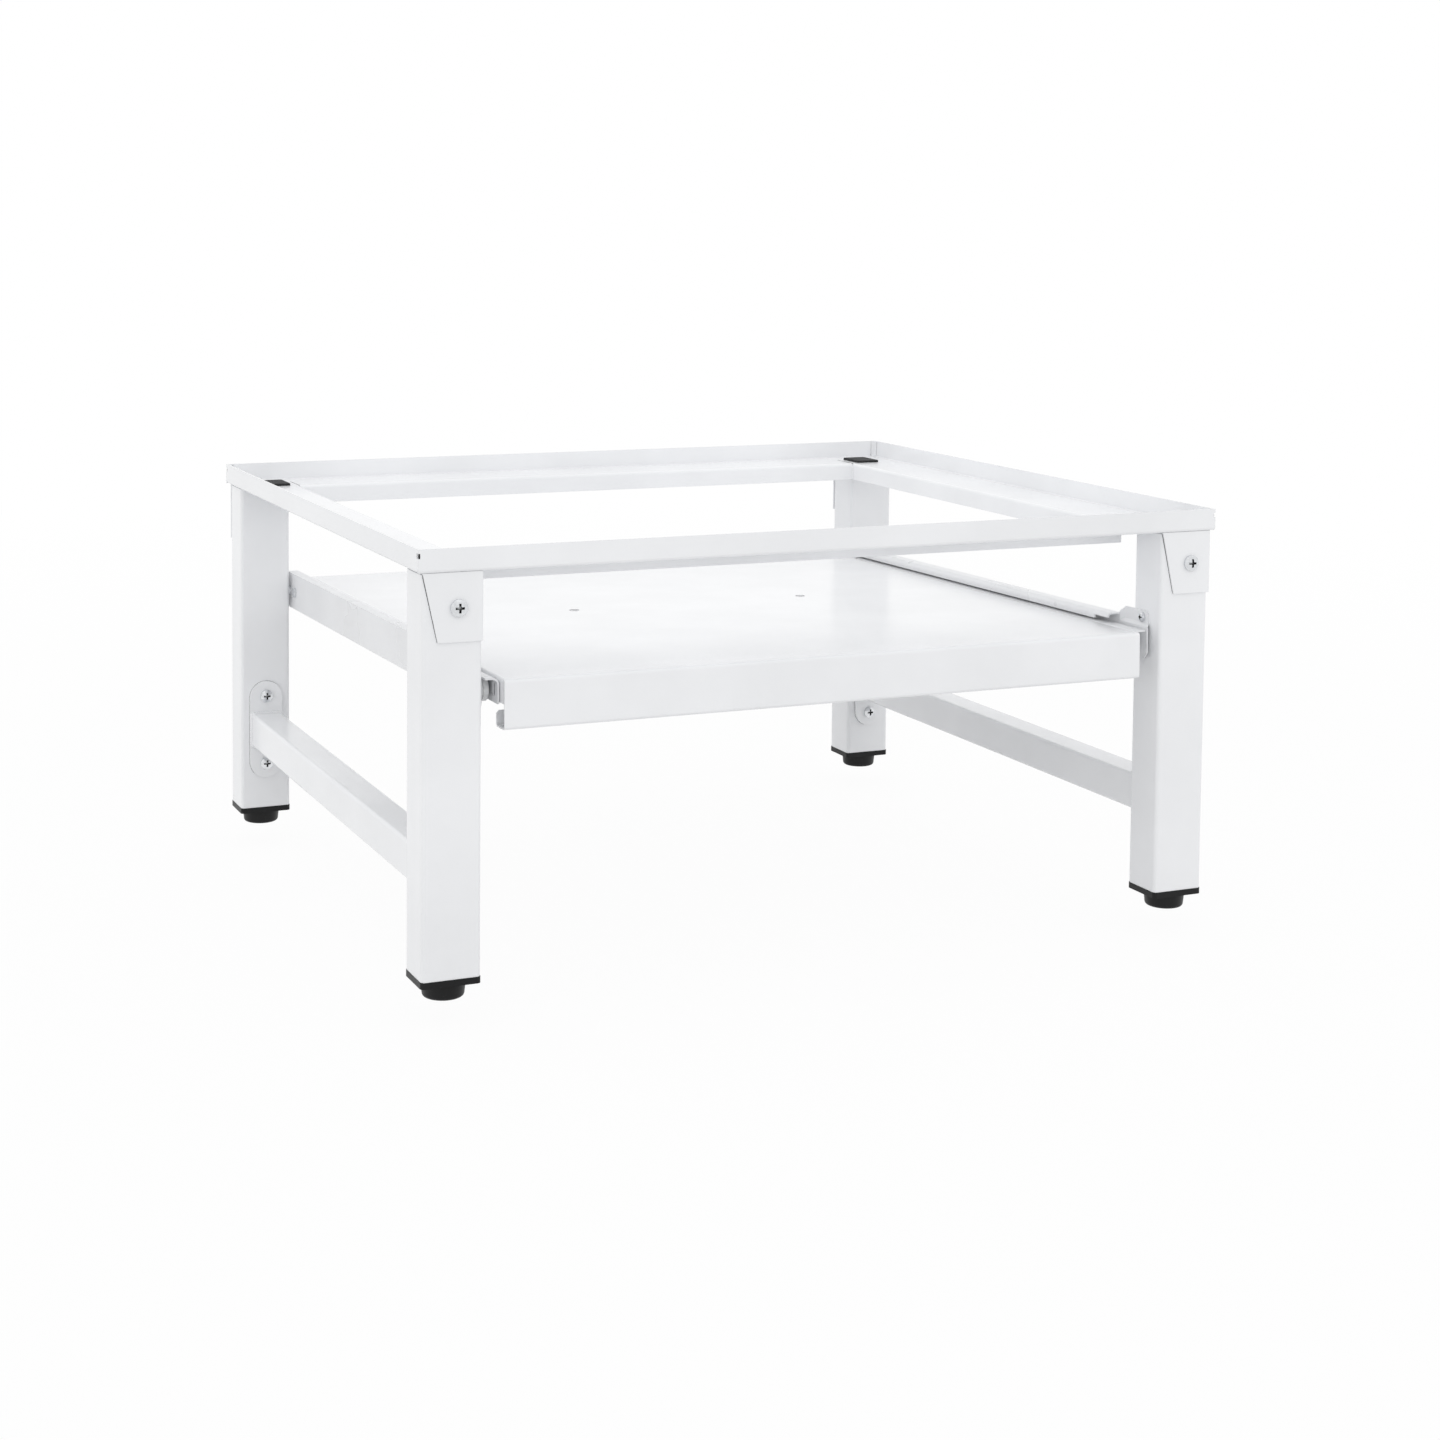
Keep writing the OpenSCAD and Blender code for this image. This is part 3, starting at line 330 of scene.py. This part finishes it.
# Screws, nuts, pins and rivets: cold-headed mild steel, zinc plated and passivated clear.
# Plating gives a bright, faintly blue grey, dulled in the grain of the wire.
def zinc():
    """Clear-passivated zinc on steel, barrel plated: satin, with blotches some 2 mm across.

    The colour is darkened in deep recesses such as a cross recess, by the open sky above the spot to the
    power 1.4: painted shade.
    """
    blotch_mm, edge_mm, recess_mm, fall = 2.0, 0.25, 2.5, 1.4
    material, tree, output = new_material("clear_zinc_plate")
    place = add_node(tree, "ShaderNodeTexCoord").outputs["Object"]
    blotch = add_node(tree, "ShaderNodeTexNoise", inputs={"Scale": 1000 / blotch_mm, "Detail": 3.0},
                      links={"Vector": place})
    edge = add_node(tree, "ShaderNodeBevel", {"samples": 4}, {"Radius": edge_mm / 1000})
    bump = add_node(tree, "ShaderNodeBump", inputs={"Strength": 0.1, "Distance": 0.0001},
                    links={"Height": blotch.outputs["Fac"], "Normal": edge.outputs["Normal"]})
    rough = add_node(tree, "ShaderNodeMapRange", inputs={"To Min": 0.16, "To Max": 0.28},
                     links={"Value": blotch.outputs["Fac"]})
    # Painted shade: the colour is scaled by the open sky above each spot, so recesses come out darker.
    sky = add_node(tree, "ShaderNodeAmbientOcclusion", {"samples": 8, "only_local": True},
                   {"Distance": recess_mm / 1000},
                   {"Color": mottled(tree, blotch.outputs["Fac"], 0.2, "#D3D5D8", "#E6E8EA")})
    painted_shade_share = add_node(tree, "ShaderNodeMath", {"operation": "POWER"}, {1: fall}, {0: sky.outputs["AO"]})
    recess_painted_shade = add_node(tree, "ShaderNodeVectorMath", {"operation": "SCALE"},
                      links={"Vector": sky.outputs["Color"], "Scale": painted_shade_share.outputs["Value"]})
    shader = add_node(tree, "ShaderNodeBsdfPrincipled", inputs={"Metallic": 1.0}, links={
        "Base Color": recess_painted_shade.outputs["Vector"],
        "Roughness": rough.outputs["Result"], "Normal": bump.outputs["Normal"]})
    tree.links.new(shader.outputs["BSDF"], output.inputs["Surface"])
    return material


zinc_plate = zinc()
dress(["tab_screws", "tab_nuts", "plate_screws", "plate_nuts", "cap_nuts", "runner_screws", "runner_nuts",
       "runner_spacers", "stop_pins", "front_pins", "back_pins", "shelf_rivets"], zinc_plate)


# Caps and feet: injection-moulded black polypropylene. A cap plugs each leg, and a round foot sits on the end
# of its stud. The mould was spark-eroded, which leaves a fine satin grain.
def moulded_black():
    """Moulded polypropylene: satin and a little less glossy than polished, with a grain of 0.5 mm.

    The grain is drawn twice as coarse as the real one, so that it shows.
    """
    grain_mm, flow_mm, edge_mm = 0.5, 50 / 3, 0.4
    material, tree, output = new_material("moulded_black_polypropylene")
    place = add_node(tree, "ShaderNodeTexCoord").outputs["Object"]
    grain = add_node(tree, "ShaderNodeTexNoise", inputs={"Scale": 1000 / grain_mm, "Detail": 2.0},
                     links={"Vector": place})
    flow = add_node(tree, "ShaderNodeTexNoise", inputs={"Scale": 1000 / flow_mm, "Detail": 2.0},
                    links={"Vector": place})
    edge = add_node(tree, "ShaderNodeBevel", {"samples": 4}, {"Radius": edge_mm / 1000})
    bump = add_node(tree, "ShaderNodeBump", inputs={"Strength": 0.15, "Distance": 0.0001},
                    links={"Height": grain.outputs["Fac"], "Normal": edge.outputs["Normal"]})
    shader = add_node(tree, "ShaderNodeBsdfPrincipled", inputs={
        "IOR": 1.49, "Roughness": 0.42, "Specular IOR Level": 0.3}, links={
        "Base Color": mottled(tree, flow.outputs["Fac"], 0.15, "#090A0B", "#0E0F10"),
        "Normal": bump.outputs["Normal"]})
    tree.links.new(shader.outputs["BSDF"], output.inputs["Surface"])
    return material


black_plastic = moulded_black()
dress([f"{piece}_{corner}" for piece in ("cap", "foot") for corner in corners], black_plastic)


# Studs: M8 threaded steel rods, rolled and zinc plated, whose flanged end turns in a pocket inside the foot.
# The thread shows when a foot is screwed out to level the pedestal.
def stud_piece(corner):
    """A threaded rod about an upright axis.

    radius(z, a) = body(z) + depth(z) (|2 frac(z / pitch - a / 2 pi) - 1| - 1), so that the crest climbs one
    pitch a turn. body is the flange's radius on the flange and the rod's above it, drawn in to a chamfer at
    the top. depth grows from nothing over the thread's first 4 mm.
    """
    low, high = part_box(f"stud_{corner}")
    centre = (low + high) / 2
    pitch, depth, run_in, rings_per_pitch = 0.00125, 0.0006, 0.004, 6
    rod, flange, flange_top, chamfer, pole = 0.004, (high.x - low.x) / 2, low.z + 0.003, 0.0008, 0.0002
    thread_z = np.arange(flange_top, high.z, pitch / rings_per_pitch)
    z = np.concatenate([[low.z, low.z, flange_top], thread_z, [high.z, high.z]])
    body = np.concatenate([[pole, flange, flange], np.minimum(rod, rod - chamfer + (high.z - thread_z)),
                           [rod - chamfer, pole]])
    cut = np.concatenate([[0, 0, 0], depth * np.clip((thread_z - flange_top) / run_in, 0, 1), [0, 0]])
    a = np.linspace(0, 2 * math.pi, 36, endpoint=False)
    phase = np.mod(z[:, None] / pitch - a[None, :] / (2 * math.pi), 1)
    r = body[:, None] + cut[:, None] * (np.abs(2 * phase - 1) - 1)
    z = np.broadcast_to(z[:, None], r.shape)
    verts = np.stack([centre.x + r * np.cos(a), centre.y + r * np.sin(a), z], -1)
    piece = put(f"threaded_stud_{corner}", verts, shell_faces(*r.shape), f"stud_{corner}", zinc_plate,
                smooth=False)
    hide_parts(f"stud_{corner}")


for corner in corners:
    stud_piece(corner)


# Stretchers: 25 x 28 mm tube between the front and back leg on each side, welded to a screwed-on end plate.
# The weld runs round the tube, in ripples about 2 mm apart, under the white coat, which breaks in a hairline
# where the plate lies on the leg.
dress(["bar_left", "bar_right"] + [f"plate_{corner}" for corner in corners], white_coat)


def bar_weld(side, end):
    """A bead round the tube's end, along a rounded rectangle.

    path(a): x = sign(cos a) (w/2 - r) + r cos a and z in the same way with sin a, stepped evenly along its
    length. The section's first vector is each of (x, z) over its half size to the power 12, with its sign and
    made a unit: it points out from the face, and turns quickly at the corners.
    """
    low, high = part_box(f"bar_{side}")
    centre = (low + high) / 2
    corner_r, radius, square = 0.0025, 0.0016, 12
    half_w, half_h = (high.x - low.x) / 2, (high.z - low.z) / 2
    turn = np.linspace(0, 2 * math.pi, 400, endpoint=False) + off_axis
    x = np.sign(np.cos(turn)) * (half_w - corner_r) + corner_r * np.cos(turn)
    z = np.sign(np.sin(turn)) * (half_h - corner_r) + corner_r * np.sin(turn)
    ring = np.stack([x, z], -1)
    closed = np.concatenate([ring, ring[:1]])
    length = np.concatenate([[0], np.cumsum(np.linalg.norm(np.diff(closed, axis=0), axis=1))])
    s = np.linspace(0, length[-1], 260, endpoint=False)
    x, z = np.interp(s, length, closed[:, 0]), np.interp(s, length, closed[:, 1])
    out = np.stack([x / half_w, z / half_h], -1)
    out = np.sign(out) * np.abs(out) ** square
    out /= np.linalg.norm(out, axis=1)[:, None]
    inward, y = (1.0, low.y) if end == "front" else (-1.0, high.y)
    path = np.stack([centre.x + x, np.full_like(x, y), centre.z + z], -1)
    across = np.stack([out[:, 0], np.zeros(len(x)), out[:, 1]], -1)
    beside = np.tile([0.0, inward, 0.0], (len(x), 1))
    put_bead(f"bar_weld_{end}_{side}", path, across, beside, radius, "frame", white_coat, ring=True)


def plate_seam(corner):
    """The dark hairline round an end plate, where the coat breaks between plate and leg.

    path(a): x = r cos a and z = sign(sin a) (h/2 - r) + r sin a, with r half the plate's width.
    """
    low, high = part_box(f"plate_{corner}")
    centre = (low + high) / 2
    round_r, radius = (high.x - low.x) / 2, 0.00013
    inward, y = (1.0, low.y) if corner.startswith("front") else (-1.0, high.y)
    turn = np.linspace(0, 2 * math.pi, 180, endpoint=False) + off_axis
    z = np.sign(np.sin(turn)) * ((high.z - low.z) / 2 - round_r) + round_r * np.sin(turn)
    path = np.stack([centre.x + round_r * np.cos(turn), np.full_like(z, y), centre.z + z], -1)
    across = np.stack([np.cos(turn), np.zeros_like(z), np.sin(turn)], -1)
    beside = np.tile([0.0, inward, 0.0], (len(z), 1))
    put_bead(f"plate_seam_{corner}", path, across, beside, radius, "frame", dark_steel_and_painted_shade, ring=True)


for side in ("left", "right"):
    for end in ("front", "back"):
        bar_weld(side, end)
for corner in corners:
    plate_seam(corner)


# Runners: members rolled from 1.2 mm strip and coated white. The fixed one is screwed to the legs, the other
# is riveted to the shelf, and their coat is thinner and a little greyer than the frame's.
runner_coat = powder_coat("satin_white_runner_coat", "#E9EAEC", "#F0F1F3", 0.24, 0.32)
dress(["runner_left", "runner_right", "arm_left", "arm_right"], runner_coat)


# Rollers: nylon discs with a groove round them, moulded in natural colour. The front ones turn on pins in the
# fixed members, and the back ones on pins in the shelf's members.
def nylon():
    """Natural moulded polyamide: milky, slightly translucent, with soft gloss."""
    haze_mm, edge_mm = 10 / 3, 0.3
    material, tree, output = new_material("moulded_nylon")
    place = add_node(tree, "ShaderNodeTexCoord").outputs["Object"]
    haze = add_node(tree, "ShaderNodeTexNoise", inputs={"Scale": 1000 / haze_mm, "Detail": 2.0},
                    links={"Vector": place})
    edge = add_node(tree, "ShaderNodeBevel", {"samples": 4}, {"Radius": edge_mm / 1000})
    shader = add_node(tree, "ShaderNodeBsdfPrincipled", inputs={
        "IOR": 1.53, "Roughness": 0.36, "Subsurface Weight": 0.2, "Subsurface Radius": (1.0, 0.95, 0.85),
        "Subsurface Scale": 0.002}, links={
        "Base Color": mottled(tree, haze.outputs["Fac"], 0.15, "#DFE0E1", "#E9EAEA"),
        "Normal": edge.outputs["Normal"]})
    tree.links.new(shader.outputs["BSDF"], output.inputs["Surface"])
    return material


natural_nylon = nylon()
dress([f"{end}_roller_{side}" for end in ("front", "back") for side in ("left", "right")], natural_nylon)


# Shelf: one sheet of 1 mm steel, folded down on four sides, with a hemmed apron at the front. Two punched
# holes let water drain. The gloss coat is the frame's. A thin near-black ring round each hole's rim darkens
# it: painted shade.
dress(["shelf"], white_coat)


def drain_hole_shade(name, side):
    """A ring of painted shade round a hole's rim: path(a) = centre + r (cos a, sin a cos t, -sin a sin t), t
    the shelf's fall.
    """
    hole_x, hole_y, top_z, fall = 0.100, -0.00153, 0.21136, math.radians(0.9)
    hole_r, rim_r = 0.00375, 0.00009
    a = np.linspace(0, 2 * math.pi, 96, endpoint=False)
    across = np.stack([np.cos(a), np.sin(a) * math.cos(fall), -np.sin(a) * math.sin(fall)], -1)
    beside = np.tile([0.0, math.sin(fall), math.cos(fall)], (len(a), 1))
    path = np.array([side * hole_x, hole_y, top_z]) + hole_r * across
    put_bead(name, path, across, beside, rim_r, "drawer", dark_steel_and_painted_shade, ring=True)


# Painted shade: a near-black ring round each drain hole's rim.
drain_hole_shade("drain_rim_left", -1)
drain_hole_shade("drain_rim_right", 1)


# Studio: a plain white floor in an even white surround, with one weak soft light overhead. The floor lies
# 16 mm under the feet, so that a foot screwed right out, by 15 mm, still shows above it.
def stage_material():
    """Matt paint that also glows to the camera and in reflections.

    It glows to 95 hundredths within 0.9 m of the middle, where the rest keeps the object's shadow, and wholly
    from 2.5 m out, where it meets the surround without an edge.
    """
    near, far, near_share = 0.9, 2.5, 0.95
    material, tree, output = new_material("white_studio_floor")
    ray = add_node(tree, "ShaderNodeLightPath")
    matt = add_node(tree, "ShaderNodeBsdfDiffuse", inputs={"Color": colour("#E6E6E6")})
    glow = add_node(tree, "ShaderNodeEmission", inputs={"Color": (1, 1, 1, 1), "Strength": 1.0})
    place = add_node(tree, "ShaderNodeTexCoord").outputs["Object"]
    away = add_node(tree, "ShaderNodeVectorMath", {"operation": "LENGTH"}, links={"Vector": place})
    share = add_node(tree, "ShaderNodeMapRange",
                     inputs={"From Min": near, "From Max": far, "To Min": near_share},
                     links={"Value": away.outputs["Value"]})
    mirrored = add_node(tree, "ShaderNodeMath", {"operation": "MAXIMUM"},
                        links={0: ray.outputs["Is Glossy Ray"], 1: ray.outputs["Is Transmission Ray"]})
    seen = add_node(tree, "ShaderNodeMath", {"operation": "MAXIMUM"},
                    links={0: ray.outputs["Is Camera Ray"], 1: mirrored.outputs["Value"]})
    part = add_node(tree, "ShaderNodeMath", {"operation": "MULTIPLY"},
                    links={0: seen.outputs["Value"], 1: share.outputs["Result"]})
    mix = add_node(tree, "ShaderNodeMixShader", links={"Fac": part.outputs["Value"]})
    tree.links.new(matt.outputs["BSDF"], mix.inputs[1])
    tree.links.new(glow.outputs["Emission"], mix.inputs[2])
    tree.links.new(mix.outputs["Shader"], output.inputs["Surface"])
    return material


floor_mesh = bpy.data.meshes.new("floor")
floor_half, floor_z = 15.0, -0.016
square = ((-1, -1), (1, -1), (1, 1), (-1, 1))
floor_mesh.from_pydata([(floor_half * x, floor_half * y, floor_z) for x, y in square], [], [(0, 1, 2, 3)])
floor_mesh.materials.append(stage_material())
floor = bpy.data.objects.new("floor", floor_mesh)
bpy.context.scene.collection.objects.link(floor)

world = bpy.data.worlds.new("white_surround")
world.use_nodes = True
world.node_tree.nodes.clear()
glow = add_node(world.node_tree, "ShaderNodeBackground", inputs={"Color": (1, 1, 1, 1), "Strength": 1.0})
add_node(world.node_tree, "ShaderNodeOutputWorld", links={"Surface": glow.outputs["Background"]})
bpy.context.scene.world = world

# The soft light is a square box above the front, a little to the left, that faces the middle of the frame.
lamp = bpy.data.lights.new("overhead_softbox", "AREA")
lamp.shape, lamp.size, lamp.energy = "SQUARE", 2.2, 2.0
softbox = bpy.data.objects.new("overhead_softbox", lamp)
bpy.context.scene.collection.objects.link(softbox)
softbox_place, lit_point = Vector((-0.2, -0.9, 2.4)), Vector((0, 0.1, 0.2))
softbox.location = softbox_place
softbox.rotation_euler = (lit_point - softbox_place).to_track_quat("-Z", "Y").to_euler()


# Camera: placed by fitting the frame's corners in the photograph, with a 61 mm lens on a 36 mm sensor.
# It looks slightly down, and the shift of the lens keeps upright lines nearly parallel, as they are there.
camera_data = bpy.data.cameras.new("camera")
camera_data.sensor_width, camera_data.lens = 36.0, 61.321
camera_data.shift_x, camera_data.shift_y = 0.05, -0.25
camera = bpy.data.objects.new("camera", camera_data)
bpy.context.scene.collection.objects.link(camera)
camera_place = (-0.80307, -1.79727, 0.54097)
yaw, pitch, roll = 0.4027, 0.0675, 0.0082
forward = Vector((math.sin(yaw) * math.cos(pitch), math.cos(yaw) * math.cos(pitch), -math.sin(pitch)))
level_right = Vector((math.cos(yaw), -math.sin(yaw), 0))
level_up = level_right.cross(forward)
right = level_right * math.cos(roll) + level_up * math.sin(roll)
up = level_up * math.cos(roll) - level_right * math.sin(roll)
turned = Matrix((right, up, -forward)).transposed().to_4x4()
camera.matrix_world = Matrix.Translation(camera_place) @ turned
bpy.context.scene.camera = camera
bpy.context.scene.view_settings.view_transform = "Standard"
